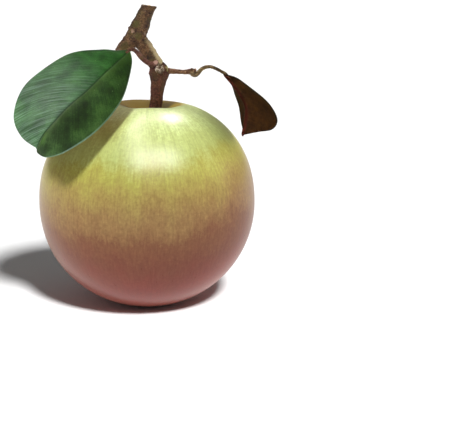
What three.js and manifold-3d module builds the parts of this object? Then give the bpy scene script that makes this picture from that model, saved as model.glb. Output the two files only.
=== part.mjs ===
// Star apple (Chrysophyllum cainito): one whole fruit as picked, on its stalk, with the cut piece
// of twig that it grew from, one sound leaf and one withered leaf. Millimetres, +Z up. The origin is
// the middle of the small flat spot that the fruit rests on.
import * as THREE from "three";
import { mergeVertices } from "three/addons/utils/BufferGeometryUtils.js";
import Module from "manifold-3d";

const wasm = await Module();
wasm.setup();

// Driving sizes of the fruit. Its side view is two half ovals that meet at the belly; a squareness
// of 2 is a true ellipse and more is squarer.
const FRUIT_RADIUS = 40;
const BELLY_HEIGHT = 38.6;
const SHOULDER_RISE = 38.1;
const SHOULDER_SQUARENESS = 2.19;
const BASE_DROP = 39.2;
const BASE_SQUARENESS = 2.02;
const FRUIT_SIDES = 48;
const SHOULDER_STEPS = 34;
const BASE_STEPS = 20;

// The cavity round the stalk is a soft hollow, a little to the right of the fruit's own axis.
const CAVITY_DEPTH = 8.5;
const CAVITY_WIDTH = 7.5;
const CAVITY_X = 1.5;

// Touching pieces keep this gap.
const GAP = 0.3;

// Leaf blades.
const BLADE_THICKNESS = 0.8;
const MIDRIB_DEPTH = 0.9;
const BLADE_STATIONS = 26;
const BLADE_HALF_STEPS = 6;
const BLADE_END_SHARE = 0.018;

const LIMB_SIDES = 12;

// Helpers

const smooth = (points) => new THREE.CatmullRomCurve3(points.map((point) => new THREE.Vector3(...point)));

// Closed skin over a run of rings that turn anticlockwise about the way the run goes. A joined run
// closes on itself; any other run gets an end cap on its first and its last ring.
function loft(rings, joined = false) {
  const sides = rings[0].length;
  const vertices = rings.flat();
  const faces = [];
  const spans = joined ? rings.length : rings.length - 1;
  for (let i = 0; i < spans; i += 1) {
    const here = i * sides;
    const next = ((i + 1) % rings.length) * sides;
    for (let j = 0; j < sides; j += 1) {
      const k = (j + 1) % sides;
      faces.push(here + j, here + k, next + k);
      faces.push(here + j, next + k, next + j);
    }
  }
  if (!joined) {
    const last = (rings.length - 1) * sides;
    const middleOf = (ring) =>
      ring.reduce((sum, point) => sum.add(point), new THREE.Vector3()).divideScalar(sides);
    vertices.push(middleOf(rings[0]), middleOf(rings.at(-1)));
    for (let j = 0; j < sides; j += 1) {
      const k = (j + 1) % sides;
      faces.push(vertices.length - 2, k, j);
      faces.push(vertices.length - 1, last + j, last + k);
    }
  }
  const geometry = new THREE.BufferGeometry().setFromPoints(vertices);
  geometry.setIndex(faces);
  geometry.computeVertexNormals();
  return geometry;
}

// A woody limb through stations [x, y, z, radius]. No limb here runs along Y, so Y squares its rings.
function limb(stations, steps, sides = LIMB_SIDES) {
  const path = smooth(stations.map(([x, y, z]) => [x, y, z]));
  const rings = [];
  for (let i = 0; i <= steps; i += 1) {
    const share = i / steps;
    const along = share * (stations.length - 1);
    const before = Math.min(Math.floor(along), stations.length - 2);
    const radius = THREE.MathUtils.lerp(stations[before][3], stations[before + 1][3], along - before);
    const heading = path.getTangent(share);
    const across = new THREE.Vector3(0, 1, 0).cross(heading).normalize();
    const outward = heading.clone().cross(across);
    const centre = path.getPoint(share);
    rings.push(
      Array.from({ length: sides }, (_, j) => {
        const turn = (2 * Math.PI * j) / sides;
        return centre
          .clone()
          .addScaledVector(across, radius * Math.cos(turn))
          .addScaledVector(outward, radius * Math.sin(turn));
      }),
    );
  }
  return loft(rings);
}

// A leaf blade between its midrib and its two margins, named as seen from the stalk with the upper
// face up. Each half arches by a share of its own width, and the midrib stands out underneath.
function blade({ midrib, leftMargin, rightMargin, arch }) {
  const rib = smooth(midrib);
  const left = smooth(leftMargin);
  const right = smooth(rightMargin);
  const rings = [];
  for (let i = 0; i <= BLADE_STATIONS; i += 1) {
    const share = THREE.MathUtils.lerp(BLADE_END_SHARE, 1 - BLADE_END_SHARE, i / BLADE_STATIONS);
    const middle = rib.getPointAt(share);
    const heading = rib.getTangentAt(share);
    const edges = { [-1]: left.getPointAt(share), [1]: right.getPointAt(share) };
    const across = edges[1].clone().sub(edges[-1]).normalize();
    const upward = across.clone().cross(heading).normalize();
    const upper = [];
    const lower = [];
    for (let k = -BLADE_HALF_STEPS; k <= BLADE_HALF_STEPS; k += 1) {
      const reach = Math.abs(k) / BLADE_HALF_STEPS;
      const edge = edges[k < 0 ? -1 : 1];
      const rise = 4 * arch * reach * (1 - reach) * edge.distanceTo(middle);
      const half = (BLADE_THICKNESS / 2) * (1 - reach / 2);
      const point = middle.clone().lerp(edge, reach).addScaledVector(upward, rise);
      const keel = k === 0 ? MIDRIB_DEPTH : half;
      upper.push(point.clone().addScaledVector(upward, half));
      lower.push(point.clone().addScaledVector(upward, -keel));
    }
    rings.push([...upper, ...lower.reverse()]);
  }
  return loft(rings);
}

// Height of the fruit's crown at a place in plan, with the cavity pressed in.
function crownHeight(x, y) {
  const reach = Math.min(Math.hypot(x, y) / FRUIT_RADIUS, 1);
  const dome = (1 - reach ** SHOULDER_SQUARENESS) ** (1 / SHOULDER_SQUARENESS);
  return BELLY_HEIGHT + SHOULDER_RISE * dome - cavityDrop(x, y);
}

function cavityDrop(x, y) {
  const share = Math.hypot(x - CAVITY_X, y) / CAVITY_WIDTH;
  return CAVITY_DEPTH * Math.exp(-(share ** 2));
}

function solidOf(geometry) {
  const bare = geometry.clone();
  bare.deleteAttribute("normal");
  bare.deleteAttribute("uv");
  const merged = mergeVertices(bare);
  return new wasm.Manifold(
    new wasm.Mesh({
      numProp: 3,
      vertProperties: merged.attributes.position.array,
      triVerts: new Uint32Array(merged.index.array),
    }),
  );
}

function geometryOf(solid) {
  const mesh = solid.getMesh();
  const geometry = new THREE.BufferGeometry();
  geometry.setAttribute("position", new THREE.BufferAttribute(mesh.vertProperties, 3));
  geometry.setIndex(new THREE.BufferAttribute(mesh.triVerts, 1));
  geometry.computeVertexNormals();
  return geometry;
}

// Pieces

// The fruit: a lathe round its axis, flat where it rests, with the cavity pressed into its crown.
function fruit() {
  const flatTurn = Math.asin((BELLY_HEIGHT / BASE_DROP) ** (BASE_SQUARENESS / 2));
  const profile = [new THREE.Vector2(0, 0)];
  for (let i = 0; i < BASE_STEPS; i += 1) {
    const turn = flatTurn * (1 - i / BASE_STEPS);
    const radius = FRUIT_RADIUS * Math.cos(turn) ** (2 / BASE_SQUARENESS);
    const drop = BASE_DROP * Math.sin(turn) ** (2 / BASE_SQUARENESS);
    profile.push(new THREE.Vector2(radius, BELLY_HEIGHT - drop));
  }
  for (let i = 0; i < SHOULDER_STEPS; i += 1) {
    const turn = ((Math.PI / 2) * i) / SHOULDER_STEPS;
    const radius = FRUIT_RADIUS * Math.cos(turn) ** (2 / SHOULDER_SQUARENESS);
    const rise = SHOULDER_RISE * Math.sin(turn) ** (2 / SHOULDER_SQUARENESS);
    profile.push(new THREE.Vector2(radius, BELLY_HEIGHT + rise));
  }
  profile.push(new THREE.Vector2(0, BELLY_HEIGHT + SHOULDER_RISE));
  const geometry = new THREE.LatheGeometry(profile, FRUIT_SIDES).rotateX(Math.PI / 2);
  const spots = geometry.attributes.position;
  for (let i = 0; i < spots.count; i += 1) {
    if (spots.getZ(i) > BELLY_HEIGHT) {
      spots.setZ(i, spots.getZ(i) - cavityDrop(spots.getX(i), spots.getY(i)));
    }
  }
  geometry.computeVertexNormals();
  return geometry;
}

// The fruit's stalk rises from the floor of the cavity and swells into a knob under the twig.
function fruitStalk() {
  return limb(
    [
      [2.0, 0, 69.6, 1.9],
      [3.4, 0, 74.5, 2.3],
      [4.0, 0, 80.0, 2.45],
      [4.6, 0, 83.6, 2.9],
      [4.8, 0, 86.2, 3.8],
      [3.9, 0.15, 88.3, 2.9],
    ],
    20,
    16,
  );
}

// The calyx: five blunt sepals that stay round the stalk, lying on the floor of the cavity.
function calyx() {
  const sepals = 5;
  const thickness = 0.6;
  const centreX = 2.2;
  const innerRadius = 2.75;
  const sepalReach = 2.2;
  const steps = 40;
  const rings = [];
  for (let i = 0; i < steps; i += 1) {
    const turn = (2 * Math.PI * i) / steps;
    const lobe = 0.35 + 0.65 * Math.abs(Math.cos((sepals * turn) / 2));
    const radii = [innerRadius, innerRadius + (sepalReach * lobe) / 2, innerRadius + sepalReach * lobe];
    const floor = radii.map((radius) => {
      const x = centreX + radius * Math.cos(turn);
      const y = radius * Math.sin(turn);
      return new THREE.Vector3(x, y, crownHeight(x, y) + GAP);
    });
    const top = floor.map((point) => point.clone().setZ(point.z + thickness));
    rings.push([...floor, ...top.reverse()]);
  }
  return loft(rings.reverse(), true);
}

// The twig: the main branch from its sawn top to the stub of its heel, and the side branch that
// leaves it just above the heel and comes down to the stalk's knob.
function twig() {
  const mainBranch = limb(
    [
      [1.9, 3.0, 110.5, 2.55],
      [-0.3, 2.5, 106.6, 2.85],
      [-1.8, 2.0, 102.9, 3.15],
      [-3.4, 1.5, 99.5, 3.35],
      [-5.8, 1.2, 97.0, 2.75],
      [-8.2, 1.0, 94.8, 2.25],
    ],
    20,
    16,
  );
  const sideBranch = limb(
    [
      [-2.9, 1.5, 99.0, 2.7],
      [0.1, 1.0, 95.0, 2.7],
      [2.3, 0.5, 91.6, 2.7],
      [3.75, 0.2, 88.75, 2.7],
    ],
    12,
    16,
  );
  return geometryOf(solidOf(mainBranch).add(solidOf(sideBranch)));
}

// A short dry spur out of the knob, with a swollen end that carries the withered leaf.
function spurShoot() {
  return limb(
    [
      [8.95, -0.4, 86.8, 1.05],
      [11.2, -0.8, 86.7, 0.85],
      [14.0, -1.2, 86.6, 0.85],
      [16.1, -1.5, 86.8, 0.95],
      [17.3, -1.8, 86.5, 1.25],
      [18.0, -1.9, 86.3, 0.7],
    ],
    18,
  );
}

// A small resting bud on the front of the knob: an egg that narrows to a blunt point.
function axilBud() {
  return limb(
    [
      [5.7, -3.75, 87.2, 0.7],
      [5.7, -4.2, 87.9, 0.95],
      [5.55, -4.4, 88.7, 0.7],
      [5.4, -4.4, 89.4, 0.2],
    ],
    8,
  );
}

function greenLeafPetiole() {
  return limb(
    [
      [3.9, -3.4, 90.0, 0.75],
      [1.9, -3.6, 89.8, 0.65],
      [0.1, -3.6, 90.7, 0.6],
      [-1.7, -3.3, 92.3, 0.6],
      [-3.2, -3.2, 94.2, 0.6],
      [-4.6, -3.2, 95.1, 0.65],
    ],
    20,
  );
}

function greenLeafBlade() {
  return blade({
    midrib: [
      [-5.5, -3.5, 95],
      [-14, -12.5, 88],
      [-21, -20, 82.5],
      [-26.5, -26, 77.5],
      [-32, -30.5, 73],
      [-35, -33, 69],
      [-37.5, -33.5, 64.5],
    ],
    rightMargin: [
      [-5.5, -3.5, 95],
      [-10, -4, 95],
      [-16, -5, 95.5],
      [-28.5, -10, 93.5],
      [-41, -18, 85.5],
      [-45.5, -26, 75.5],
      [-43, -31, 68],
      [-37.5, -33.5, 64.5],
    ],
    leftMargin: [
      [-5.5, -3.5, 95],
      [-5, -7.5, 89],
      [-8.5, -19.5, 78.5],
      [-16.5, -29, 70.5],
      [-26.5, -35, 63.5],
      [-33.5, -35.5, 61.5],
      [-37, -34.5, 63],
      [-37.5, -33.5, 64.5],
    ],
    arch: 0.05,
  });
}

function brownLeafPetiole() {
  return limb(
    [
      [18.5, -3.6, 85.7, 0.75],
      [20.4, -3.2, 87.9, 0.65],
      [22.6, -3.1, 88.7, 0.6],
      [24.7, -3.2, 88.3, 0.6],
      [26.9, -3.4, 87.2, 0.65],
      [28.9, -3.7, 85.9, 0.65],
      [29.9, -3.9, 85.1, 0.7],
    ],
    22,
  );
}

function brownLeafBlade() {
  return blade({
    midrib: [
      [30.5, -4, 84.5],
      [33.5, -5, 80.5],
      [36.5, -6, 75],
      [36.5, -7, 70.5],
      [35.5, -6, 64],
    ],
    leftMargin: [
      [30.5, -4, 84.5],
      [31.5, 0, 81],
      [34, 3.5, 75],
      [35, 3, 69.5],
      [35.5, -6, 64],
    ],
    rightMargin: [
      [30.5, -4, 84.5],
      [31.5, -7, 85.5],
      [38, -15, 82],
      [44, -19, 76.5],
      [46.5, -19, 71.5],
      [45, -16, 67.5],
      [40, -9.5, 65.5],
      [35.5, -6, 64],
    ],
    arch: 0.08,
  });
}

// Finishes

const finish = (color, roughness) => new THREE.MeshStandardMaterial({ color, roughness, metalness: 0 });
const ripeSkin = finish(0xb4a868, 0.42);
const bark = finish(0x5e422c, 0.85);
const drySepal = finish(0x6b4a30, 0.9);
const freshPetiole = finish(0x6f4a38, 0.7);
const dryPetiole = finish(0x5a4a36, 0.8);
const greenLeaf = finish(0x3c5f36, 0.38);
const deadLeaf = finish(0x3a2412, 0.6);

// Assembly

const starApple = new THREE.Group();

function place(name, geometry, material) {
  const mesh = new THREE.Mesh(geometry, material);
  mesh.name = name;
  starApple.add(mesh);
}

place("fruit", fruit(), ripeSkin);
place("calyx", calyx(), drySepal);
place("fruit_stalk", fruitStalk(), bark);
place("twig", twig(), bark);
place("spur_shoot", spurShoot(), bark);
place("axil_bud", axilBud(), bark);
place("green_leaf_petiole", greenLeafPetiole(), freshPetiole);
place("green_leaf_blade", greenLeafBlade(), greenLeaf);
place("brown_leaf_petiole", brownLeafPetiole(), dryPetiole);
place("brown_leaf_blade", brownLeafBlade(), deadLeaf);

export default starApple;
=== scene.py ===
import math

import bmesh
import bpy
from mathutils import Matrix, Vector, noise


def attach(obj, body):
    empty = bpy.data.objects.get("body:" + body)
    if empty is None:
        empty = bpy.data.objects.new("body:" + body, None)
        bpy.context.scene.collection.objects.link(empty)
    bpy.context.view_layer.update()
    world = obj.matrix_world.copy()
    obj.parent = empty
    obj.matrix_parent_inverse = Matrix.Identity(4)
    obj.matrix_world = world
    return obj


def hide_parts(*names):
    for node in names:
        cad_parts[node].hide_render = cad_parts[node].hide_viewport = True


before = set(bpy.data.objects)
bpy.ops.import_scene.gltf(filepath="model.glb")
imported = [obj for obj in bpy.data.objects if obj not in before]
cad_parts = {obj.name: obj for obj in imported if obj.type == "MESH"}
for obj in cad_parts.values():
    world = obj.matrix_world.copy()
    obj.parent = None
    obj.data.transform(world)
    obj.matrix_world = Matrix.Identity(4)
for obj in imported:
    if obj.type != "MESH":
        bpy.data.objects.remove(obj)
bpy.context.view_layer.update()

MM = 0.001

# ---------------------------------------------------------------------------------------------
# The fruit. A nearly round, ripening star apple with a smooth waxy skin, grown in one piece.
# It is turned round its upright axis, then the cavity for the stalk is pressed into its crown.
# ---------------------------------------------------------------------------------------------
FRUIT_RADIUS = 40.0
BELLY_HEIGHT = 38.6
SHOULDER_RISE = 38.1
SHOULDER_SQUARENESS = 2.19
BASE_DROP = 39.2
BASE_SQUARENESS = 2.02
CAVITY_DEPTH = 8.5
CAVITY_WIDTH = 7.5
CAVITY_X = 1.5
SWELLING_SIZE = 34.0
SWELLING_SHARE = 0.007
SWELLING_START = 12.0
FRUIT_SIDES = 200
SHOULDER_STEPS = 84
BASE_STEPS = 48


def to_linear(hex_code):
    """A hex colour in sRGB as the linear colour that the shader works in."""
    channels = [int(hex_code[k:k + 2], 16) / 255 for k in (1, 3, 5)]
    return [c / 12.92 if c <= 0.04045 else ((c + 0.055) / 1.055) ** 2.4 for c in channels] + [1.0]


def add_node(tree, kind, inputs=None, stops=None, **settings):
    """Adds a node. An input is a value, or another node's output to link from; stops fill a ramp."""
    node = tree.nodes.new(kind)
    for name, value in settings.items():
        setattr(node, name, value)
    for socket, value in (inputs or {}).items():
        if isinstance(value, bpy.types.NodeSocket):
            tree.links.new(value, node.inputs[socket])
        else:
            node.inputs[socket].default_value = value
    for i, (place, color) in enumerate(stops or []):
        elements = node.color_ramp.elements
        element = elements[i] if i < 2 else elements.new(place)
        element.position = place
        element.color = to_linear(color) if isinstance(color, str) else (color, color, color, 1)
    return node


def new_material(name):
    """An empty node material, with its tree and the shader that the finish is set on."""
    material = bpy.data.materials.new(name)
    material.use_nodes = True
    shader = material.node_tree.nodes["Principled BSDF"]
    return material, material.node_tree, shader


def cavity_drop(x, y):
    """How far the crown is pressed in at a place in plan, in millimetres."""
    turn = math.atan2(y, x - CAVITY_X)
    width = CAVITY_WIDTH * (1 + 0.05 * math.sin(2 * turn + 0.6) + 0.03 * math.sin(5 * turn))
    reach = math.hypot(x - CAVITY_X, y) / width
    return CAVITY_DEPTH * math.exp(-(reach ** 2))


def finish_piece(name, shape, materials, nodes):
    """Turns a bmesh into a smooth piece on the root body, which stands for those CAD nodes."""
    mesh = bpy.data.meshes.new(name)
    shape.to_mesh(mesh)
    shape.free()
    mesh.polygons.foreach_set("use_smooth", [True] * len(mesh.polygons))
    piece = bpy.data.objects.new(name, mesh)
    bpy.context.scene.collection.objects.link(piece)
    for material in materials:
        mesh.materials.append(material)
    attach(piece, "root")
    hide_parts(*nodes)
    return piece


def turn_fruit():
    """The whole fruit: its outline spun round, swollen a little here and there, and pressed in."""
    shape = bmesh.new()
    flat_turn = math.asin((BELLY_HEIGHT / BASE_DROP) ** (BASE_SQUARENESS / 2))
    outline = [(0.0, 0.0)]
    for i in range(BASE_STEPS):
        turn = flat_turn * (1 - i / BASE_STEPS)
        radius = FRUIT_RADIUS * math.cos(turn) ** (2 / BASE_SQUARENESS)
        outline.append((radius, BELLY_HEIGHT - BASE_DROP * math.sin(turn) ** (2 / BASE_SQUARENESS)))
    for i in range(SHOULDER_STEPS):
        turn = math.pi / 2 * i / SHOULDER_STEPS
        radius = FRUIT_RADIUS * math.cos(turn) ** (2 / SHOULDER_SQUARENESS)
        rise = SHOULDER_RISE * math.sin(turn) ** (2 / SHOULDER_SQUARENESS)
        outline.append((radius, BELLY_HEIGHT + rise))
    outline.append((0.0, BELLY_HEIGHT + SHOULDER_RISE))
    corners = [shape.verts.new((x, 0, z)) for x, z in outline]
    edges = [shape.edges.new(pair) for pair in zip(corners, corners[1:])]
    bmesh.ops.spin(shape, geom=corners + edges, axis=(0, 0, 1), cent=(0, 0, 0),
                   angle=2 * math.pi, steps=FRUIT_SIDES, use_merge=True, use_duplicate=False)
    bmesh.ops.remove_doubles(shape, verts=shape.verts, dist=0.0005)
    for vert in shape.verts:
        x, y, z = vert.co
        swelling = noise.noise(Vector((x, y, z)) / SWELLING_SIZE + Vector((3, 1, 7)))
        swell = 1 + SWELLING_SHARE * min(z / SWELLING_START, 1) * swelling
        if z > BELLY_HEIGHT:
            z -= cavity_drop(x, y)
        vert.co = Vector((x * swell, y * swell, z)) * MM
    bmesh.ops.recalc_face_normals(shape, faces=shape.faces)
    return shape


def patch_over(parts, middle, reach, hex_code, amount, softness=0.4):
    """Lays a soft patch of another colour over a finish, round a place given in millimetres."""
    material, tree, shader, color = parts
    place = add_node(tree, "ShaderNodeTexCoord").outputs["Object"]
    far = add_node(tree, "ShaderNodeVectorMath", {0: place, 1: tuple(c * MM for c in middle)},
                   operation="DISTANCE").outputs["Value"]
    crumbs = add_node(tree, "ShaderNodeTexNoise", {"Vector": place, "Scale": 1 / (0.7 * MM),
                                                   "Detail": 3.0}).outputs["Fac"]
    ragged = add_node(tree, "ShaderNodeMath", {0: crumbs, 1: reach * MM, 2: far},
                      operation="MULTIPLY_ADD").outputs[0]
    where = add_node(tree, "ShaderNodeMapRange", {0: ragged, 1: 1.5 * reach * MM,
                                                  2: (1.5 - softness) * reach * MM,
                                                  3: 0.0, 4: amount}).outputs[0]
    laid = add_node(tree, "ShaderNodeMix", {0: where, 6: color, 7: to_linear(hex_code)},
                    data_type="RGBA").outputs[2]
    tree.links.new(laid, shader.inputs["Base Color"])
    return material, tree, shader, laid


def fruit_skin():
    """Waxy fruit skin, satin: lime green at the crown, tan at the belly and pinkish brown below,
    mottled, with fine upright streaks, an olive cavity and a brown painted shadow of the green leaf on the
    skin under it."""
    streak_width = 0.75
    streak_length = 3.4
    fleck_size = 1.1
    patch_size = 11.0
    lime_height = 76.0
    blush_start = 12.0
    mouth_back = 4.0
    mouth_edge = 14.5
    mouth_inside = 11.0
    material, tree, shader = new_material("satin waxy fruit skin")
    place = add_node(tree, "ShaderNodeTexCoord").outputs["Object"]
    axes = add_node(tree, "ShaderNodeSeparateXYZ", {0: place}).outputs
    flat = add_node(tree, "ShaderNodeCombineXYZ", {0: axes["X"], 1: axes["Y"]}).outputs[0]
    compass = add_node(tree, "ShaderNodeVectorMath", {0: flat}, operation="NORMALIZE").outputs[0]
    ring = add_node(tree, "ShaderNodeVectorMath", {0: compass, "Scale": FRUIT_RADIUS / streak_width},
                    operation="SCALE").outputs[0]
    climb = add_node(tree, "ShaderNodeMath", {0: axes["Z"], 1: 1 / (streak_length * MM)},
                     operation="MULTIPLY").outputs[0]
    upright = add_node(tree, "ShaderNodeCombineXYZ", {2: climb}).outputs[0]
    grain = add_node(tree, "ShaderNodeVectorMath", {0: ring, 1: upright}, operation="ADD").outputs[0]
    streak = add_node(tree, "ShaderNodeTexNoise", {"Vector": grain, "Scale": 1.0, "Detail": 3.0,
                                                   "Roughness": 0.6}).outputs["Fac"]
    broad = add_node(tree, "ShaderNodeTexNoise", {"Vector": grain, "Scale": 0.16, "Detail": 2.0,
                                                  "Roughness": 0.5}).outputs["Fac"]
    fleck = add_node(tree, "ShaderNodeTexNoise", {"Vector": place, "Scale": 1 / (fleck_size * MM),
                                                  "Detail": 4.0, "Roughness": 0.7}).outputs["Fac"]
    patch = add_node(tree, "ShaderNodeTexNoise", {"Vector": place, "Scale": 1 / (patch_size * MM),
                                                  "Detail": 3.0, "Roughness": 0.55}).outputs["Fac"]
    height = add_node(tree, "ShaderNodeMath", {0: axes["Z"], 1: 1 / (lime_height * MM)},
                      operation="MULTIPLY").outputs[0]
    blush = add_node(tree, "ShaderNodeMapRange", {0: axes["X"], 1: blush_start * MM,
                                                  2: FRUIT_RADIUS * MM, 3: 0.0, 4: -0.10}).outputs[0]
    level = add_node(tree, "ShaderNodeMath", {0: blush, 1: height}, operation="ADD").outputs[0]
    for source, strength in ((patch, 0.16), (fleck, 0.12), (broad, 0.08), (streak, 0.06)):
        shift = add_node(tree, "ShaderNodeMath", {0: source, 1: 0.5}, operation="SUBTRACT").outputs[0]
        level = add_node(tree, "ShaderNodeMath", {0: shift, 1: strength, 2: level},
                         operation="MULTIPLY_ADD").outputs[0]
    ripening = add_node(tree, "ShaderNodeValToRGB", {0: level}, stops=[
        (0.0, "#80382f"), (1.0, "#e4f2b2"), (0.15, "#7e3a30"), (0.30, "#744231"), (0.41, "#7a5036"),
        (0.52, "#8f7045"), (0.63, "#9f8d4e"), (0.73, "#aca953"), (0.80, "#b4be70"),
        (0.88, "#bfcc7d"), (0.95, "#d5e698")]).outputs["Color"]
    skin = ripening
    for source, stops in ((streak, [(0.30, 0.86), (0.70, 1.06)]), (fleck, [(0.32, 0.90), (0.68, 1.06)])):
        shade = add_node(tree, "ShaderNodeValToRGB", {0: source}, stops=stops).outputs[0]
        skin = add_node(tree, "ShaderNodeMix", {0: 1.0, 6: skin, 7: shade}, data_type="RGBA",
                        blend_type="MULTIPLY").outputs[2]
    heart = add_node(tree, "ShaderNodeVectorMath", {0: flat, 1: (CAVITY_X * MM, mouth_back * MM, 0)},
                     operation="DISTANCE").outputs["Value"]
    depth = add_node(tree, "ShaderNodeMapRange", {0: heart, 1: mouth_edge * MM,
                                                  2: mouth_inside * MM}).outputs[0]
    upper = add_node(tree, "ShaderNodeMath", {0: axes["Z"], 1: BELLY_HEIGHT * MM},
                     operation="GREATER_THAN").outputs[0]
    inside = add_node(tree, "ShaderNodeMath", {0: depth, 1: upper}, operation="MULTIPLY").outputs[0]
    skin = add_node(tree, "ShaderNodeMix", {0: inside, 6: skin, 7: to_linear("#957c08")},
                    data_type="RGBA").outputs[2]
    # Painted shadow: two brown patches laid on the skin under the green leaf stand for the leaf's shadow
    # on the fruit.
    parts = patch_over((material, tree, shader, skin), (-29, -19, 58), 14.0, "#553410", 0.5, 1.2)
    patch_over(parts, (-15.0, -19.3, 70.2), 11.0, "#a07a3a", 0.4, 1.2)
    rough = add_node(tree, "ShaderNodeMapRange", {0: streak, 3: 0.22, 4: 0.42}).outputs[0]
    rough = add_node(tree, "ShaderNodeMath", {0: inside, 1: 0.5, 2: rough},
                     operation="MULTIPLY_ADD").outputs[0]
    tree.links.new(rough, shader.inputs["Roughness"])
    relief = add_node(tree, "ShaderNodeMath", {0: streak, 1: fleck}, operation="ADD").outputs[0]
    bump = add_node(tree, "ShaderNodeBump", {"Height": relief, "Strength": 0.18,
                                             "Distance": 0.12 * MM}).outputs[0]
    tree.links.new(bump, shader.inputs["Normal"])
    shader.inputs["IOR"].default_value = 1.45
    shader.inputs["Specular IOR Level"].default_value = 0.25
    shader.inputs["Sheen Weight"].default_value = 0.12
    shader.inputs["Sheen Roughness"].default_value = 0.4
    shader.inputs["Sheen Tint"].default_value = to_linear("#f3dfcb")
    return material


fruit = finish_piece("fruit_skin", turn_fruit(), [fruit_skin()], ["fruit"])

# ---------------------------------------------------------------------------------------------
# The fruit's stalk. Young wood that rises out of the cavity and swells into a knob, where it
# grew from the twig. Like every limb here, it is a disc extruded ring by ring along a line.
# ---------------------------------------------------------------------------------------------


def through(stations, share):
    """The station at a share of the way along a smooth line through the given ones."""
    spans = len(stations) - 1
    first = min(int(share * spans), spans - 1)
    t = share * spans - first
    a, b, c, d = (Vector(stations[min(max(first + k, 0), spans)]) for k in (-1, 0, 1, 2))
    if first == 0:
        a = 2 * b - c
    if first == spans - 1:
        d = 2 * c - b
    return 0.5 * (2 * b + (c - a) * t + (2 * a - 5 * b + 4 * c - d) * t ** 2
                  + (3 * b - a - 3 * c + d) * t ** 3)


def grow_limb(stations, sides, steps, bark=lambda turn, share: 0.0):
    """A closed limb through stations (x, y, z, radius), in millimetres; bark adds to its radius."""
    shape = bmesh.new()
    ring = bmesh.ops.create_circle(shape, cap_ends=True, segments=sides, radius=1)["verts"]
    for _ in range(steps):
        rim = [edge for edge in shape.edges if edge.verts[0] in ring and edge.verts[1] in ring]
        grown = bmesh.ops.extrude_edge_only(shape, edges=rim)["geom"]
        ring = {item for item in grown if isinstance(item, bmesh.types.BMVert)}
        bmesh.ops.translate(shape, verts=list(ring), vec=(0, 0, 1))
    rim = [edge for edge in shape.edges if edge.verts[0] in ring and edge.verts[1] in ring]
    bmesh.ops.contextual_create(shape, geom=rim)
    for vert in shape.verts:
        turn = math.atan2(vert.co.y, vert.co.x)
        share = vert.co.z / steps
        station = through(stations, share)
        heading = (through(stations, share + 0.004) - through(stations, share - 0.004)).to_3d()
        across = Vector((0, 1, 0)).cross(heading).normalized()
        outward = heading.cross(across).normalized()
        radius = station[3] + bark(turn, share)
        place = station.to_3d() + radius * (math.cos(turn) * across + math.sin(turn) * outward)
        vert.co = place * MM
    bmesh.ops.recalc_face_normals(shape, faces=shape.faces)
    return shape


def roughen(shape, depth, size, seed):
    """Raises and sinks the surface along its normals by layered noise: bark's cracks and crusts."""
    shape.normal_update()
    shift = Vector((seed, -seed, 2 * seed))
    for vert in shape.verts:
        spot = vert.co / (size * MM) + shift
        swell = noise.fractal(spot, 0.8, 2.1, 4)
        vert.co += vert.normal * swell * depth * MM


def bark_finish(name, dark, middle, light, moss):
    """Young bark: dull brown, with crusty pale flecks, dark cracks and a little green algae."""
    crust_size = 2.4
    grain_size = 0.5
    algae_size = 5.0
    fleck_gap = 0.9
    material, tree, shader = new_material(name)
    place = add_node(tree, "ShaderNodeTexCoord").outputs["Object"]
    coarse = add_node(tree, "ShaderNodeTexNoise", {"Vector": place, "Scale": 1 / (crust_size * MM),
                                                   "Detail": 5.0, "Roughness": 0.7}).outputs["Fac"]
    fine = add_node(tree, "ShaderNodeTexNoise", {"Vector": place, "Scale": 1 / (grain_size * MM),
                                                 "Detail": 3.0, "Roughness": 0.75}).outputs["Fac"]
    blend = add_node(tree, "ShaderNodeMath", {0: coarse, 1: fine}, operation="ADD").outputs[0]
    half = add_node(tree, "ShaderNodeMath", {0: blend, 1: 0.5}, operation="MULTIPLY").outputs[0]
    brown = add_node(tree, "ShaderNodeValToRGB", {0: half}, stops=[
        (0.40, dark), (0.59, light), (0.49, middle)]).outputs["Color"]
    algae = add_node(tree, "ShaderNodeTexNoise", {"Vector": place, "Scale": 1 / (algae_size * MM),
                                                  "Detail": 3.0}).outputs["Fac"]
    where = add_node(tree, "ShaderNodeMapRange", {0: algae, 1: 0.52, 2: 0.66, 3: 0.0, 4: 0.6}).outputs[0]
    bark = add_node(tree, "ShaderNodeMix", {0: where, 6: brown, 7: to_linear(moss)}, data_type="RGBA")
    flecks = add_node(tree, "ShaderNodeTexVoronoi", {"Vector": place, "Scale": 1 / (fleck_gap * MM)})
    spots = add_node(tree, "ShaderNodeMapRange", {0: flecks.outputs["Distance"], 1: 0.22, 2: 0.12,
                                                  3: 0.0, 4: 0.3}).outputs[0]
    speckled = add_node(tree, "ShaderNodeMix", {0: spots, 6: bark.outputs[2],
                                                7: to_linear("#a98a70")}, data_type="RGBA").outputs[2]
    tree.links.new(speckled, shader.inputs["Base Color"])
    shader.inputs["Roughness"].default_value = 0.82
    bump = add_node(tree, "ShaderNodeBump", {"Height": half, "Strength": 0.9,
                                             "Distance": 0.5 * MM}).outputs[0]
    tree.links.new(bump, shader.inputs["Normal"])
    return material, tree, shader, speckled


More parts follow.
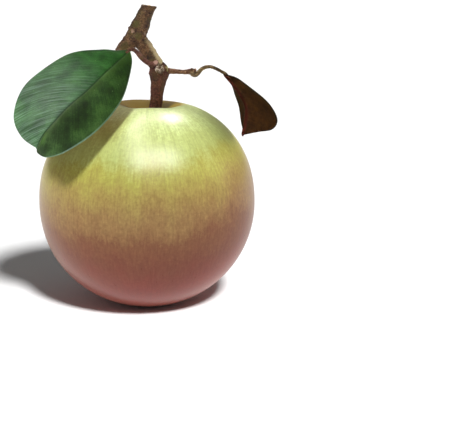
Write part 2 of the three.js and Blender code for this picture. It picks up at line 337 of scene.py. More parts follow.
stalk_parts = bark_finish("reddish stalk bark", "#28110b", "#4a2417", "#6f402e", "#4a371a")
# A pale yellow-green patch on the right of the knob: partly the pale wood of a facet there, partly painted
# light where that facet catches the light.
stalk_bark = patch_over(stalk_parts, (7.2, -0.8, 87.6), 1.7, "#b3a866", 0.8)[0]
stalk_shape = grow_limb([
    (1.9, 0, 68.2, 2.6), (2.6, 0, 71.0, 2.15), (3.4, 0, 74.5, 2.25), (4.0, 0, 80.0, 2.45),
    (4.5, 0, 83.6, 2.95), (4.75, 0, 86.2, 3.8), (4.3, 0.1, 88.6, 3.1), (3.9, 0.2, 89.8, 1.6)],
    sides=72, steps=110,
    bark=lambda turn, share: 0.07 * math.sin(3 * turn + 1) + 0.05 * math.sin(7 * turn + 5 * share))
roughen(stalk_shape, depth=0.22, size=2.2, seed=3)
finish_piece("stalk_with_knob", stalk_shape, [stalk_bark], ["fruit_stalk"])

# ---------------------------------------------------------------------------------------------
# The calyx. Five small dry sepals that stay on the fruit, pressed to the cavity's floor round
# the foot of the stalk. Each is a small blade, thickened and curled up a little at its tip.
# ---------------------------------------------------------------------------------------------
SEPALS = 5
SEPAL_LENGTH = 3.4
SEPAL_WIDTH = 3.0


def crown_height(x, y):
    """The height of the skin at a place in plan, on the crown or in the cavity."""
    reach = min(math.hypot(x, y) / FRUIT_RADIUS, 1)
    dome = (1 - reach ** SHOULDER_SQUARENESS) ** (1 / SHOULDER_SQUARENESS)
    return BELLY_HEIGHT + SHOULDER_RISE * dome - cavity_drop(x, y)


calyx_shape = bmesh.new()
for k in range(SEPALS):
    sepal = bmesh.ops.create_grid(calyx_shape, x_segments=14, y_segments=14, size=0.5)["verts"]
    heading = 2 * math.pi * (k + 0.3) / SEPALS
    for vert in sepal:
        along = vert.co.x + 0.5
        side = 2 * vert.co.y * math.sqrt(max(1 - (along ** 2.2), 0.0)) * SEPAL_WIDTH / 2
        reach = 1.7 + along * SEPAL_LENGTH
        x = 2.2 + reach * math.cos(heading) - side * math.sin(heading)
        y = reach * math.sin(heading) + side * math.cos(heading)
        curl = 0.35 + 0.5 * along ** 3 + 0.03 * k
        vert.co = Vector((x, y, crown_height(x, y) + curl)) * MM
bmesh.ops.remove_doubles(calyx_shape, verts=calyx_shape.verts, dist=0.01 * MM)
sepal_skin = bark_finish("dry brown sepal", "#3d2618", "#62452c", "#86684a", "#5b4a2a")[0]
calyx = finish_piece("calyx_sepals", calyx_shape, [sepal_skin], ["calyx"])
wall = calyx.modifiers.new("sepal thickness", "SOLIDIFY")
wall.thickness = 0.3 * MM
wall.offset = 0

# ---------------------------------------------------------------------------------------------
# The twig. A cut branch that ends in the stub of its heel, with a side branch that leaves it
# above the heel and comes down to the knob. The two limbs grow into one skin at the fork.
# ---------------------------------------------------------------------------------------------
TWIG_VOXEL = 0.2
SMOOTHING_PASSES = 4
SAWN_DEPTH = 0.45
MAIN_BRANCH = [(2.9, 3.2, 112.2, 2.45), (1.9, 3.0, 110.6, 2.5), (0.6, 2.8, 108.4, 2.65),
               (-0.5, 2.5, 106.0, 2.8), (-1.6, 2.2, 103.4, 3.25), (-2.9, 1.8, 100.8, 3.35),
               (-4.4, 1.5, 98.6, 3.1), (-6.2, 1.2, 96.8, 2.75), (-8.4, 1.0, 94.2, 2.5),
               (-10.4, 0.8, 91.8, 2.4)]
SAWN_TOP = Vector((1.6, 3.0, 110.3))
HEEL_FOOT = Vector((-7.0, 1.0, 94.9))
SAW_CUTS = [(SAWN_TOP, Vector((0.15, 0, 1))), (HEEL_FOOT, Vector((0.05, 0.1, -1)))]
SIDE_BRANCH = [(-2.9, 1.5, 99.4, 2.6), (-0.2, 1.1, 95.6, 2.75), (2.0, 0.6, 92.0, 2.7),
               (4.0, 0.2, 88.9, 2.75), (4.9, 0.1, 87.2, 2.3)]


def fuse(name, shapes, voxel):
    """Merges overlapping closed shapes into one skin of even small faces."""
    mesh = bpy.data.meshes.new(name)
    whole = bmesh.new()
    for shape in shapes:
        shape.to_mesh(mesh)
        shape.free()
        whole.from_mesh(mesh)
    whole.to_mesh(mesh)
    whole.free()
    holder = bpy.data.objects.new(name, mesh)
    bpy.context.scene.collection.objects.link(holder)
    remesh = holder.modifiers.new("one skin", "REMESH")
    remesh.mode = "VOXEL"
    remesh.voxel_size = voxel * MM
    graph = bpy.context.evaluated_depsgraph_get()
    fused = bmesh.new()
    fused.from_mesh(holder.evaluated_get(graph).to_mesh())
    bpy.data.objects.remove(holder)
    bpy.data.meshes.remove(mesh)
    return fused


def node_collar(turn, share):
    """A crusty ring of old leaf scars round the main branch, just above the fork."""
    return 0.55 * math.exp(-((share - 0.555) / 0.022) ** 2) * (0.65 + 0.35 * math.sin(6 * turn))


def painted_lit_strip(parts):
    """A painted highlight: a pale strip painted down the lower side branch, on the side that faces the
    right side light, standing in for the light that side catches.
    """
    material, tree, shader, color = parts
    place = add_node(tree, "ShaderNodeTexCoord").outputs["Object"]
    # The strip lies on the side that faces the side light: painted light, not a colour of the bark.
    toward_side_light = add_node(tree, "ShaderNodeVectorMath", {0: place, 1: (0.855, 0.0, 0.52)},
                       operation="DOT_PRODUCT").outputs["Value"]
    crumbs = add_node(tree, "ShaderNodeTexNoise", {"Vector": place, "Scale": 1 / (1.1 * MM),
                                                   "Detail": 3.0}).outputs["Fac"]
    ragged = add_node(tree, "ShaderNodeMath", {0: crumbs, 1: 1.6 * MM, 2: toward_side_light},
                      operation="MULTIPLY_ADD").outputs[0]
    strip = add_node(tree, "ShaderNodeMapRange", {0: ragged, 1: 51.3 * MM, 2: 52.4 * MM, 3: 0.0,
                                                  4: 0.72}).outputs[0]
    height = add_node(tree, "ShaderNodeSeparateXYZ", {0: place}).outputs["Z"]
    below = add_node(tree, "ShaderNodeMapRange", {0: height, 1: 99.5 * MM, 2: 95.5 * MM}).outputs[0]
    where = add_node(tree, "ShaderNodeMath", {0: strip, 1: below}, operation="MULTIPLY").outputs[0]
    pale = add_node(tree, "ShaderNodeMix", {0: where, 6: color, 7: to_linear("#c6b485")},
                    data_type="RGBA").outputs[2]
    tree.links.new(pale, shader.inputs["Base Color"])
    return material


def sawn_wood():
    """Freshly sawn green wood: matt and tan, in faint rings round a darker pith and under the bark."""
    grain_size = 0.6
    material, tree, shader = new_material("sawn green wood")
    place = add_node(tree, "ShaderNodeTexCoord").outputs["Object"]
    out = add_node(tree, "ShaderNodeVectorMath", {0: place, 1: tuple(SAWN_TOP * MM)},
                   operation="DISTANCE").outputs["Value"]
    grain = add_node(tree, "ShaderNodeTexNoise", {"Vector": place, "Scale": 1 / (grain_size * MM),
                                                  "Detail": 3.0}).outputs["Fac"]
    ring = add_node(tree, "ShaderNodeMath", {0: grain, 1: 2 * grain_size * MM, 2: out},
                    operation="MULTIPLY_ADD").outputs[0]
    share = add_node(tree, "ShaderNodeMapRange", {0: ring, 1: 0.6 * MM, 2: 3.2 * MM}).outputs[0]
    color = add_node(tree, "ShaderNodeValToRGB", {0: share}, stops=[
        (0.0, "#6e4c2c"), (1.0, "#5a3d24"), (0.2, "#b8966a"), (0.65, "#a98659")]).outputs["Color"]
    tree.links.new(color, shader.inputs["Base Color"])
    shader.inputs["Roughness"].default_value = 0.75
    return material


main_limb = grow_limb(MAIN_BRANCH, sides=48, steps=120, bark=node_collar)
for cut, outward in SAW_CUTS:
    everything = main_limb.verts[:] + main_limb.edges[:] + main_limb.faces[:]
    sawn = bmesh.ops.bisect_plane(main_limb, geom=everything, plane_co=cut * MM, plane_no=outward,
                                  clear_outer=True)
    rim = [item for item in sawn["geom_cut"] if isinstance(item, bmesh.types.BMEdge)]
    bmesh.ops.contextual_create(main_limb, geom=rim)
side_limb = grow_limb(SIDE_BRANCH, sides=48, steps=40)
twig_shape = fuse("twig_blank", [main_limb, side_limb], TWIG_VOXEL)
for _ in range(SMOOTHING_PASSES):
    bmesh.ops.smooth_vert(twig_shape, verts=twig_shape.verts, factor=0.5,
                          use_axis_x=True, use_axis_y=True, use_axis_z=True)
roughen(twig_shape, depth=0.24, size=1.7, seed=5)
# The faces at the two saw cuts show bare wood, the second material.
for cut, outward in SAW_CUTS:
    for face in twig_shape.faces:
        above = (face.calc_center_median() - cut * MM).dot(outward)
        if above > -SAWN_DEPTH * MM and face.normal.dot(outward) > 0.8:
            face.material_index = 1
twig_parts = bark_finish("crusty twig bark", "#201208", "#4a301d", "#785838", "#423f12")
for middle, reach, hex_code, amount in (
        ((-4.4, -0.8, 101.5), 1.0, "#b9947c", 0.5),
        ((0.4, -0.6, 100.4), 1.0, "#b79a80", 0.5),
        ((-3.0, 0.2, 103.6), 2.2, "#565420", 0.6),
        ((-2.4, -1.6, 99.6), 1.7, "#4f4c1c", 0.6)):
    twig_parts = patch_over(twig_parts, middle, reach, hex_code, amount)
finish_piece("twig_bark", twig_shape, [painted_lit_strip(twig_parts), sawn_wood()], ["twig"])

# ---------------------------------------------------------------------------------------------
# The spur. A short dry shoot out of the right of the knob, ringed with old leaf scars, whose
# swollen end carries the withered leaf.
# ---------------------------------------------------------------------------------------------
spur_shape = grow_limb([
    (7.2, -0.2, 86.9, 1.5), (8.6, -0.4, 86.9, 1.1), (11.2, -0.8, 86.75, 0.85),
    (14.0, -1.2, 86.6, 0.85), (16.0, -1.5, 86.75, 1.05), (17.0, -1.7, 86.9, 1.25),
    (17.8, -1.8, 87.3, 0.75), (18.2, -1.9, 87.9, 0.15)],
    sides=40, steps=90,
    bark=lambda turn, share: 0.05 * math.sin(60 * share) + 0.04 * math.sin(3 * turn))
roughen(spur_shape, depth=0.07, size=1.2, seed=7)
spur_bark = bark_finish("dry spur bark", "#4a2618", "#6d4530", "#a5805a", "#6b5a34")[0]
finish_piece("spur_bark", spur_shape, [spur_bark], ["spur_shoot"])

# ---------------------------------------------------------------------------------------------
# The bud. A small resting bud on the front of the knob, in dry overlapping scales round a core.
# It grew out of the knob's bark, and its scales are ridges swollen out of one short limb.
# ---------------------------------------------------------------------------------------------
bud_shape = grow_limb([
    (4.9, -3.1, 87.0, 1.0), (5.0, -3.6, 87.8, 1.35), (4.9, -4.0, 88.8, 1.1), (4.7, -4.1, 89.9, 0.2)],
    sides=32, steps=30,
    bark=lambda turn, share: 0.35 * abs(math.sin(2.5 * turn + 6 * share)))
roughen(bud_shape, depth=0.12, size=0.9, seed=11)
bud_skin = bark_finish("dry bud scales", "#1c100a", "#5a4028", "#d9c9b4", "#5b4a2a")[0]
finish_piece("bud_scales", bud_shape, [bud_skin], ["axil_bud"])

# ---------------------------------------------------------------------------------------------
# The green leaf's stalk. Smooth, reddish brown and pale where it joined the knob, it lies along
# the lower left of the side branch and runs into the blade's midrib.
# ---------------------------------------------------------------------------------------------
petiole_shape = grow_limb([
    (4.2, -2.7, 90.3, 0.95), (3.3, -3.3, 90.0, 0.95), (1.9, -3.6, 89.8, 0.9), (0.1, -3.5, 90.7, 0.88),
    (-1.7, -3.3, 92.3, 0.84), (-3.2, -3.2, 94.2, 0.8), (-4.4, -3.2, 95.0, 0.72), (-5.6, -3.6, 94.95, 0.62),
    (-7.0, -4.9, 93.9, 0.5)], sides=28, steps=90)
roughen(petiole_shape, depth=0.03, size=1.0, seed=13)
petiole_parts = bark_finish("reddish leaf stalk", "#3d1f19", "#5a3429", "#7d5243", "#5a4a2a")
petiole_skin = patch_over(petiole_parts, (3.7, -3.9, 90.6), 1.1, "#caa08e", 0.7)[0]
finish_piece("green_leaf_stalk", petiole_shape, [petiole_skin], ["green_leaf_petiole"])

# ---------------------------------------------------------------------------------------------
# The green leaf's blade. Leathery, glossy dark green above and coppery velvet beneath, folded
# like a low roof along its midrib, with fine side veins that run close together to the margin.
# ---------------------------------------------------------------------------------------------
GREEN_MIDRIB = [(-5.5, -3.5, 95), (-14, -16.5, 88.5), (-20.5, -25, 83), (-26.5, -31, 78.5),
                (-31.5, -35, 73.5), (-35, -36, 69.5), (-37.5, -34, 64.5)]
GREEN_RIGHT_MARGIN = [(-5.5, -3.5, 95), (-10, -4, 95), (-16, -5, 95.5), (-28.5, -10, 93.5),
                      (-41, -18, 85.5), (-45.5, -26, 75.5), (-43, -32, 68.5), (-37.5, -34, 64.5)]
GREEN_LEFT_MARGIN = [(-5.5, -3.5, 95), (-5, -9, 89.5), (-8.5, -22, 79), (-16, -32, 71),
                     (-26.5, -37.5, 64), (-33.5, -38, 62), (-37, -36, 63), (-37.5, -34, 64.5)]


def evenly(stations, count):
    """Points an even distance apart along a smooth line through the stations, and its length."""
    fine = [through(stations, k / 300) for k in range(301)]
    run = [0.0]
    for here, there in zip(fine, fine[1:]):
        run.append(run[-1] + (there - here).length)
    points = []
    k = 0
    for i in range(count + 1):
        target = run[-1] * i / count
        while k < 299 and run[k + 1] < target:
            k += 1
        points.append(fine[k].lerp(fine[k + 1], (target - run[k]) / (run[k + 1] - run[k])))
    return points, run[-1]


def spread_blade(midrib, left, right, rows, columns, arch, vein_gap, vein_depth, wave, seed):
    """A leaf blade stretched between its midrib and its margins, with sunk veins, and its map:
    the map's first number is the way along the midrib and its second the way across, in cm."""
    shape = bmesh.new()
    bmesh.ops.create_grid(shape, x_segments=columns, y_segments=rows, size=0.5)
    ribs, length = evenly(midrib, rows)
    edges = {-1: evenly(left, rows)[0], 1: evenly(right, rows)[0]}
    chart = shape.loops.layers.uv.new("blade")
    near_margin = shape.verts.layers.float.new("reach")
    spots = {}
    for vert in shape.verts:
        row = round((vert.co.y + 0.5) * rows)
        hand = -1 if vert.co.x < 0 else 1
        reach = abs(vert.co.x) * 2
        middle = ribs[row]
        heading = (ribs[min(row + 1, rows)] - ribs[max(row - 1, 0)]).normalized()
        span = edges[1][row] - edges[-1][row]
        upward = span.cross(heading)
        upward = upward.normalized() if upward.length > 1e-6 else Vector((0, 0, 1))
        width = (edges[hand][row] - middle).length
        across = reach * width
        down = row / rows * length
        vein = math.sin(2 * math.pi * (down - 0.7 * across) / vein_gap + 0.8 * hand
                        + 2.2 * noise.noise(Vector((down / 6, hand * across / 9, seed))))
        body = min(across / 1.5, 1) * min((1 - reach) * width / 1.5, 1)
        rise = 4 * arch * reach * (1 - reach) * width
        rise -= vein_depth * body * max(vein, -0.2)
        rise -= 0.28 * math.exp(-(across / 0.55) ** 2)
        ripple = math.sin(2 * math.pi * row / rows * 2.6 + seed + hand)
        rise += wave * reach ** 2 * ripple * min(width / 6, 1)
        rise += 0.35 * body * noise.noise(Vector((down / 7, hand * across / 7, seed + 5)))
        vert.co = (middle.lerp(edges[hand][row], reach) + upward * rise) * MM
        vert[near_margin] = reach
        spots[vert] = (down / 10, hand * across / 10)
    for face in shape.faces:
        for loop in face.loops:
            loop[chart].uv = spots[loop.vert]
    bmesh.ops.remove_doubles(shape, verts=shape.verts, dist=0.002 * MM)
    bmesh.ops.dissolve_degenerate(shape, edges=shape.edges, dist=0.001 * MM)
    return shape


def thicken_blade(piece, blade_thickness, midrib_thickness, rib_width):
    """Gives the blade its thickness downwards, with the midrib standing out underneath."""
    group = piece.vertex_groups.new(name="midrib")
    chart = piece.data.uv_layers["blade"].data
    for polygon in piece.data.polygons:
        for corner, loop in zip(polygon.vertices, polygon.loop_indices):
            across = abs(chart[loop].uv[1]) * 10
            share = blade_thickness / midrib_thickness
            weight = share + (1 - share) * math.exp(-(across / rib_width) ** 2)
            group.add([corner], weight, "REPLACE")
    wall = piece.modifiers.new("blade thickness", "SOLIDIFY")
    wall.thickness = midrib_thickness * MM
    wall.offset = -1
    wall.vertex_group = group.name
    wall.material_offset = 1
    wall.material_offset_rim = 0


def leaf_upper():
    """Leathery leaf cuticle: dark green, in a lighter copy on one half of the fold and a darker copy on
    the other as painted light and shade, with a painted grey sheen along the fine side veins of the
    lighter half towards the tip, a painted dark shade in the furrow down the midrib beside a yellower
    band, and a painted pale highlight along the darker half's margin."""
    vein_slant = -0.7
    cell_size = 0.5
    cloud_size = 6.0
    speck_gap = 3.1
    material, tree, shader = new_material("leathery leaf cuticle")
    chart = add_node(tree, "ShaderNodeUVMap", uv_map="blade").outputs[0]
    axes = add_node(tree, "ShaderNodeSeparateXYZ", {0: chart}).outputs
    away = add_node(tree, "ShaderNodeMath", {0: axes["Y"]}, operation="ABSOLUTE").outputs[0]
    skew = add_node(tree, "ShaderNodeMath", {0: away, 1: vein_slant, 2: axes["X"]},
                    operation="MULTIPLY_ADD").outputs[0]
    lines = add_node(tree, "ShaderNodeCombineXYZ", {0: skew, 1: axes["Y"]}).outputs[0]
    stretched = add_node(tree, "ShaderNodeMapping", {"Vector": lines, "Scale": (1.0, 0.035, 1.0)},
                         vector_type="POINT").outputs[0]
    veins = add_node(tree, "ShaderNodeTexNoise", {"Vector": stretched, "Scale": 27.0, "Detail": 2.0,
                                                  "Roughness": 0.65}).outputs["Fac"]
    place = add_node(tree, "ShaderNodeTexCoord").outputs["Object"]
    cells = add_node(tree, "ShaderNodeTexNoise", {"Vector": place, "Scale": 1 / (cell_size * MM),
                                                  "Detail": 3.0, "Roughness": 0.7}).outputs["Fac"]
    clouds = add_node(tree, "ShaderNodeTexNoise", {"Vector": place, "Scale": 1 / (cloud_size * MM),
                                                   "Detail": 3.0}).outputs["Fac"]
    level = clouds
    for source, strength in ((veins, 0.45), (cells, 0.45)):
        shift = add_node(tree, "ShaderNodeMath", {0: source, 1: 0.5}, operation="SUBTRACT").outputs[0]
        level = add_node(tree, "ShaderNodeMath", {0: shift, 1: strength, 2: level},
                         operation="MULTIPLY_ADD").outputs[0]
    # Painted light and shade: the two halves of the fold get a lighter and a darker copy of the same
    # green.
    painted_lit_green = add_node(tree, "ShaderNodeValToRGB", {0: level}, stops=[
        (0.32, "#183f12"), (0.70, "#3f7435"), (0.5, "#295921")]).outputs["Color"]
    painted_shade_green = add_node(tree, "ShaderNodeValToRGB", {0: level}, stops=[
        (0.30, "#15290a"), (0.72, "#3e5e2a"), (0.5, "#233f13")]).outputs["Color"]
    half = add_node(tree, "ShaderNodeMapRange", {0: axes["Y"], 1: -0.02, 2: 0.02}).outputs[0]
    green = add_node(tree, "ShaderNodeMix", {0: half, 6: painted_shade_green, 7: painted_lit_green}, data_type="RGBA").outputs[2]
    # Painted sheen: grey streaks along the side veins towards the tip of the lighter half stand for the
    # reflection of the light there.
    low = add_node(tree, "ShaderNodeMapRange", {0: axes["X"], 1: 1.6, 2: 3.4}).outputs[0]
    sheen_along_veins = add_node(tree, "ShaderNodeMapRange", {0: veins, 1: 0.47, 2: 0.62, 3: 0.2, 4: 1.0}).outputs[0]
    painted_sheen = add_node(tree, "ShaderNodeMath", {0: low, 1: sheen_along_veins}, operation="MULTIPLY").outputs[0]
    painted_sheen = add_node(tree, "ShaderNodeMath", {0: painted_sheen, 1: half}, operation="MULTIPLY").outputs[0]
    painted_sheen = add_node(tree, "ShaderNodeMath", {0: painted_sheen, 1: 0.42}, operation="MULTIPLY").outputs[0]
    green = add_node(tree, "ShaderNodeMix", {0: painted_sheen, 6: green, 7: to_linear("#93aca0")},
                     data_type="RGBA").outputs[2]
    band = add_node(tree, "ShaderNodeMapRange", {0: axes["Y"], 1: -0.35, 2: -0.03, 3: 0.0,
                                                 4: 0.45}).outputs[0]
    shaded = add_node(tree, "ShaderNodeMath", {0: axes["Y"], 1: 0.0}, operation="LESS_THAN").outputs[0]
    band = add_node(tree, "ShaderNodeMath", {0: band, 1: shaded}, operation="MULTIPLY").outputs[0]
    green = add_node(tree, "ShaderNodeMix", {0: band, 6: green, 7: to_linear("#4a6a24")},
                     data_type="RGBA").outputs[2]
    # Painted highlight: a pale grey-green rim along the margin of the shaded half, standing for the light
    # its edge catches.
    reach = add_node(tree, "ShaderNodeAttribute", attribute_name="reach").outputs["Fac"]
    edge = add_node(tree, "ShaderNodeMapRange", {0: reach, 1: 0.955, 2: 0.985, 3: 0.0, 4: 0.6}).outputs[0]
    edge = add_node(tree, "ShaderNodeMath", {0: edge, 1: shaded}, operation="MULTIPLY").outputs[0]
    green = add_node(tree, "ShaderNodeMix", {0: edge, 6: green, 7: to_linear("#8aa593")},
                     data_type="RGBA").outputs[2]
    # Painted shade: a dark line down the sunken midrib, standing for the shade inside it.
    groove_shade = add_node(tree, "ShaderNodeMapRange", {0: away, 1: 0.015, 2: 0.05, 3: 0.75, 4: 0.0}).outputs[0]
    green = add_node(tree, "ShaderNodeMix", {0: groove_shade, 6: green, 7: to_linear("#16300f")},
                     data_type="RGBA").outputs[2]
    flecks = add_node(tree, "ShaderNodeTexVoronoi", {"Vector": place, "Scale": 1 / (speck_gap * MM)})
    spots = add_node(tree, "ShaderNodeMapRange", {0: flecks.outputs["Distance"], 1: 0.07, 2: 0.04,
                                                  3: 0.0, 4: 0.5}).outputs[0]
    speckled = add_node(tree, "ShaderNodeMix", {0: spots, 6: green, 7: to_linear("#7d9c60")},
                        data_type="RGBA").outputs[2]
    tree.links.new(speckled, shader.inputs["Base Color"])
    rough = add_node(tree, "ShaderNodeMapRange", {0: veins, 3: 0.34, 4: 0.55}).outputs[0]
    tree.links.new(rough, shader.inputs["Roughness"])
    relief = add_node(tree, "ShaderNodeMath", {0: cells, 1: 0.5, 2: veins},
                      operation="MULTIPLY_ADD").outputs[0]
    bump = add_node(tree, "ShaderNodeBump", {"Height": relief, "Strength": 0.5,
                                             "Distance": 0.18 * MM}).outputs[0]
    tree.links.new(bump, shader.inputs["Normal"])
    shader.inputs["IOR"].default_value = 1.45
    shader.inputs["Specular IOR Level"].default_value = 0.4
    return material


def velvet(name, dark, light, sheen_color, sheen, rib_color, rim_color):
    """Fine silky hairs on a leaf's face: a soft matt surface with a faint sheen, a thin line of
    another colour down the midrib and a thin rim of another along the margin."""
    tuft_size = 4.0
    material, tree, shader = new_material(name)
    chart = add_node(tree, "ShaderNodeUVMap", uv_map="blade").outputs[0]
    stretched = add_node(tree, "ShaderNodeMapping", {"Vector": chart, "Scale": (1.0, 0.1, 1.0)},
                         vector_type="POINT").outputs[0]
    veins = add_node(tree, "ShaderNodeTexNoise", {"Vector": stretched, "Scale": 12.0, "Detail": 3.0,
                                                  "Roughness": 0.6}).outputs["Fac"]
    place = add_node(tree, "ShaderNodeTexCoord").outputs["Object"]
    tufts = add_node(tree, "ShaderNodeTexNoise", {"Vector": place, "Scale": 1 / (tuft_size * MM),
                                                  "Detail": 5.0, "Roughness": 0.7}).outputs["Fac"]
    level = add_node(tree, "ShaderNodeMath", {0: veins, 1: 0.4, 2: tufts},
                     operation="MULTIPLY_ADD").outputs[0]
    hair = add_node(tree, "ShaderNodeValToRGB", {0: level}, stops=[(0.5, dark), (0.85, light)]).outputs[0]
    axes = add_node(tree, "ShaderNodeSeparateXYZ", {0: chart}).outputs
    away = add_node(tree, "ShaderNodeMath", {0: axes["Y"]}, operation="ABSOLUTE").outputs[0]
    rib = add_node(tree, "ShaderNodeMapRange", {0: away, 1: 0.02, 2: 0.06, 3: 0.8, 4: 0.0}).outputs[0]
    ribbed = add_node(tree, "ShaderNodeMix", {0: rib, 6: hair, 7: to_linear(rib_color)},
                      data_type="RGBA").outputs[2]
    reach = add_node(tree, "ShaderNodeAttribute", attribute_name="reach").outputs["Fac"]
    rim = add_node(tree, "ShaderNodeMapRange", {0: reach, 1: 0.94, 2: 0.99, 3: 0.0, 4: 0.85}).outputs[0]
    rimmed = add_node(tree, "ShaderNodeMix", {0: rim, 6: ribbed, 7: to_linear(rim_color)},
                      data_type="RGBA").outputs[2]
    tree.links.new(rimmed, shader.inputs["Base Color"])
    bump = add_node(tree, "ShaderNodeBump", {"Height": veins, "Strength": 0.4,
                                             "Distance": 0.15 * MM}).outputs[0]
    tree.links.new(bump, shader.inputs["Normal"])
    shader.inputs["Roughness"].default_value = 0.8
    shader.inputs["Specular IOR Level"].default_value = 0.15
    shader.inputs["Sheen Weight"].default_value = sheen
    shader.inputs["Sheen Tint"].default_value = to_linear(sheen_color)
    return material


green_shape = spread_blade(GREEN_MIDRIB, GREEN_LEFT_MARGIN, GREEN_RIGHT_MARGIN, rows=200, columns=120,
                           arch=0.06, vein_gap=1.7, vein_depth=0.02, wave=0.35, seed=2.0)
copper_hair = velvet("coppery leaf underside", "#7a4f22", "#b07e40", "#d8a860", 0.3,
                     "#c49a5a", "#8a5c2c")
green_blade = finish_piece("green_leaf", green_shape, [leaf_upper(), copper_hair],
                           ["green_leaf_blade"])
thicken_blade(green_blade, blade_thickness=0.35, midrib_thickness=1.0, rib_width=0.6)

# ---------------------------------------------------------------------------------------------
# The withered leaf's stalk. Thin, dry and bent over in an arch, in blotchy dark and tan bark.
# ---------------------------------------------------------------------------------------------
dry_shape = grow_limb([
    (16.8, -2.0, 86.2, 1.0), (17.8, -2.9, 85.8, 0.95), (18.9, -3.1, 86.4, 0.85), (20.4, -3.1, 87.9, 0.72),
    (22.6, -3.1, 88.7, 0.65), (24.7, -3.2, 88.3, 0.6), (26.9, -3.4, 87.25, 0.58), (28.4, -3.6, 86.4, 0.6),
    (29.8, -3.9, 85.2, 0.52), (31.2, -4.2, 83.6, 0.35)], sides=28, steps=110)
roughen(dry_shape, depth=0.08, size=1.1, seed=17)
dry_skin = bark_finish("dry leaf stalk", "#2c1d12", "#6b5434", "#8e744a", "#3a2a1a")[0]
finish_piece("brown_leaf_stalk", dry_shape, [dry_skin], ["brown_leaf_petiole"])

# ---------------------------------------------------------------------------------------------
# The withered leaf's blade. Dry and turned over, so that its dark coppery underside faces out,
# with a dull green-brown upper face and a hard blackish margin.
# ---------------------------------------------------------------------------------------------
BROWN_MIDRIB = [(28.9, -3.7, 86.1), (31.6, -4.4, 83.0), (34, -5, 79.8), (36.5, -6, 75),
                (36.5, -7, 70.5), (35.5, -6, 64)]
BROWN_LEFT_MARGIN = [(28.9, -3.7, 86.1), (30.9, -2.4, 82.8), (32.7, 1.0, 78.4), (34.2, 3.5, 74),
                     (35, 3, 69.5), (35.5, -6, 64)]
BROWN_RIGHT_MARGIN = [(28.9, -3.7, 86.1), (33.1, -7.4, 84.9), (38, -14, 81.8), (43.6, -18.5, 76.8),
                      (46.5, -19, 71.5), (45, -16, 67.5), (40, -9.5, 65.5), (35.5, -6, 64)]
brown_shape = spread_blade(BROWN_MIDRIB, BROWN_LEFT_MARGIN, BROWN_RIGHT_MARGIN, rows=130, columns=100,
                           arch=0.08, vein_gap=1.5, vein_depth=0.025, wave=0.12, seed=6.0)
dull_face = velvet("withered leaf upper face", "#2c2a12", "#4c4a22", "#8a8050", 0.05,
                   "#5a4a28", "#1a130a")
worn_hair = velvet("withered coppery underside", "#241104", "#44290c", "#6a4424", 0.0,
                   "#3c0c06", "#140a05")
brown_blade = finish_piece("brown_leaf", brown_shape, [dull_face, worn_hair],
                           ["brown_leaf_blade"])
thicken_blade(brown_blade, blade_thickness=0.3, midrib_thickness=0.8, rib_width=0.5)

# ---------------------------------------------------------------------------------------------
# The studio. White paper on the floor in a soft white room, a high key light from the left, rim
# lights on the fruit, softboxes that show in its wax, a light for the floor, and the camera.
# ---------------------------------------------------------------------------------------------
FLOOR_REACH = 30000.0
LAMP_DISTANCE = 500.0
SIGHT_HEIGHT = 38.0
CAMERA_DISTANCE = 467.25
AIM_RIGHT = 28.86
AIM_DOWN = 5.68
TILT_DOWN = math.radians(12)

floor_shape = bmesh.new()
bmesh.ops.create_grid(floor_shape, x_segments=1, y_segments=1, size=FLOOR_REACH * MM)
floor_mesh = bpy.data.meshes.new("floor")
floor_shape.to_mesh(floor_mesh)
floor_shape.free()
floor = bpy.data.objects.new("floor", floor_mesh)
bpy.context.scene.collection.objects.link(floor)
# Matt white paper, which takes a soft shadow and gives no reflection.
paper, _, shader = new_material("white studio paper")
shader.inputs["Base Color"].default_value = to_linear("#f4f4f4")
shader.inputs["Roughness"].default_value = 0.9
shader.inputs["Specular IOR Level"].default_value = 0.2
floor_mesh.materials.append(paper)

world = bpy.data.worlds.new("white room")
world.use_nodes = True
world.node_tree.nodes["Background"].inputs["Color"].default_value = (1.0, 1.0, 1.0, 1)
seen = add_node(world.node_tree, "ShaderNodeLightPath").outputs["Is Camera Ray"]
strength = add_node(world.node_tree, "ShaderNodeMapRange", {0: seen, 3: 0.06, 4: 1.0}).outputs[0]
world.node_tree.links.new(strength, world.node_tree.nodes["Background"].inputs["Strength"])
bpy.context.scene.world = world
bpy.context.scene.view_settings.view_transform = "Standard"


def aim(item, place, target):
    """Puts a light or the camera at a place, looking at the target."""
    item.location = place
    item.rotation_euler = (Vector(target) - Vector(place)).to_track_quat("-Z", "Y").to_euler()


def hang_light(name, kind, towards, strength, **settings):
    """A lamp that hangs in the given direction from the heart of the fruit and shines at it."""
    lamp = bpy.data.lights.new(name, kind)
    lamp.energy = strength
    for setting, value in settings.items():
        setattr(lamp, setting, value)
    holder = bpy.data.objects.new(name, lamp)
    bpy.context.scene.collection.objects.link(holder)
    heart = Vector((0, 0, BELLY_HEIGHT * MM))
    aim(holder, heart + Vector(towards).normalized() * LAMP_DISTANCE * MM, heart)
    return holder


def light_by(holder, name, receivers, glossy_only=False):
    """Lets a lamp light only the given objects, and if asked only as a reflection in them."""
    lit = bpy.data.collections.new(name)
    for item in receivers:
        lit.objects.link(item)
    holder.light_linking.receiver_collection = lit
    holder.visible_diffuse = not glossy_only


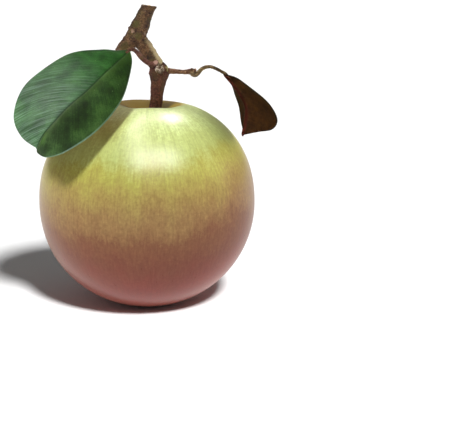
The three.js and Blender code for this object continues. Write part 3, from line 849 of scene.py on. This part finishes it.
shown = [piece for piece in bpy.context.scene.objects if piece.type == "MESH" and piece is not floor]
wood = [piece for piece in shown if piece not in (fruit, green_blade)]
key = hang_light("overhead key", "SUN", (-0.32, -0.635, 0.70), 2.8, angle=math.radians(11))
key.visible_glossy = False
light_by(key, "lit by the key", shown)
fill = hang_light("warm fill", "SUN", (-0.45, -0.8, 0.2), 0.45, angle=math.radians(110),
                  color=(1.0, 0.86, 0.68))
fill.visible_glossy = False
light_by(fill, "lit by the fill", [piece for piece in shown if piece is not fruit])
side = hang_light("right side light", "SUN", (0.85, 0.45, 0.5), 1.2, angle=math.radians(6))
side.visible_glossy = False
light_by(side, "lit by the side light", wood)
rim_light = hang_light("left rim light", "SUN", (-0.92, 0.32, -0.25), 6.2, angle=math.radians(40),
                       color=(1.0, 0.93, 0.88))
rim_light.visible_glossy = False
light_by(rim_light, "lit by the rim light", [fruit])
right_light = hang_light("right rim light", "SUN", (0.93, 0.12, 0.38), 2.4, angle=math.radians(40),
                         color=(1.0, 0.92, 0.90))
right_light.visible_glossy = False
light_by(right_light, "lit by the right rim light", [fruit])
warm_room = hang_light("warm room", "SUN", (-0.1, -0.2, 1.0), 0.22, angle=math.pi, color=(1.0, 0.78, 0.45))
light_by(warm_room, "lit by the warm room", shown)
pale_room = hang_light("pale room", "SUN", (0.0, 0.0, 1.0), 0.24, angle=math.pi)
light_by(pale_room, "lit by the pale room", [floor])
floor_light = hang_light("floor light", "SUN", (0.213, -0.70, 0.682), 5.4, angle=math.radians(9))
light_by(floor_light, "lit by the floor light", [floor])
for name, towards, strength, size, size_y, seen_in in (
        ("front softbox", (0.126, -0.56, 0.82), 7.5, 0.38, 0.20, fruit),
        ("long softbox", (-0.15, 0.0, 1.0), 3.6, 0.60, 0.12, fruit),
        ("small back window", (0.225, 0.504, 0.834), 1.2, 0.03, 0.06, fruit),
        ("leaf softbox", (-0.35, -0.15, 0.9), 1.0, 0.3, 0.3, green_blade)):
    softbox = hang_light(name, "AREA", towards, strength, shape="RECTANGLE", size=size, size_y=size_y)
    light_by(softbox, "lit by the " + name, [seen_in], glossy_only=True)

camera = bpy.data.cameras.new("camera")
camera.lens = 100
camera.sensor_width = 36
viewer = bpy.data.objects.new("camera", camera)
bpy.context.scene.collection.objects.link(viewer)
centre = Vector((0, 0, SIGHT_HEIGHT)) * MM
ahead = Vector((0, math.cos(TILT_DOWN), -math.sin(TILT_DOWN)))
upward = Vector((0, math.sin(TILT_DOWN), math.cos(TILT_DOWN)))
aim(viewer, centre - ahead * CAMERA_DISTANCE * MM,
    centre + Vector((AIM_RIGHT, 0, 0)) * MM - upward * AIM_DOWN * MM)
bpy.context.scene.camera = viewer
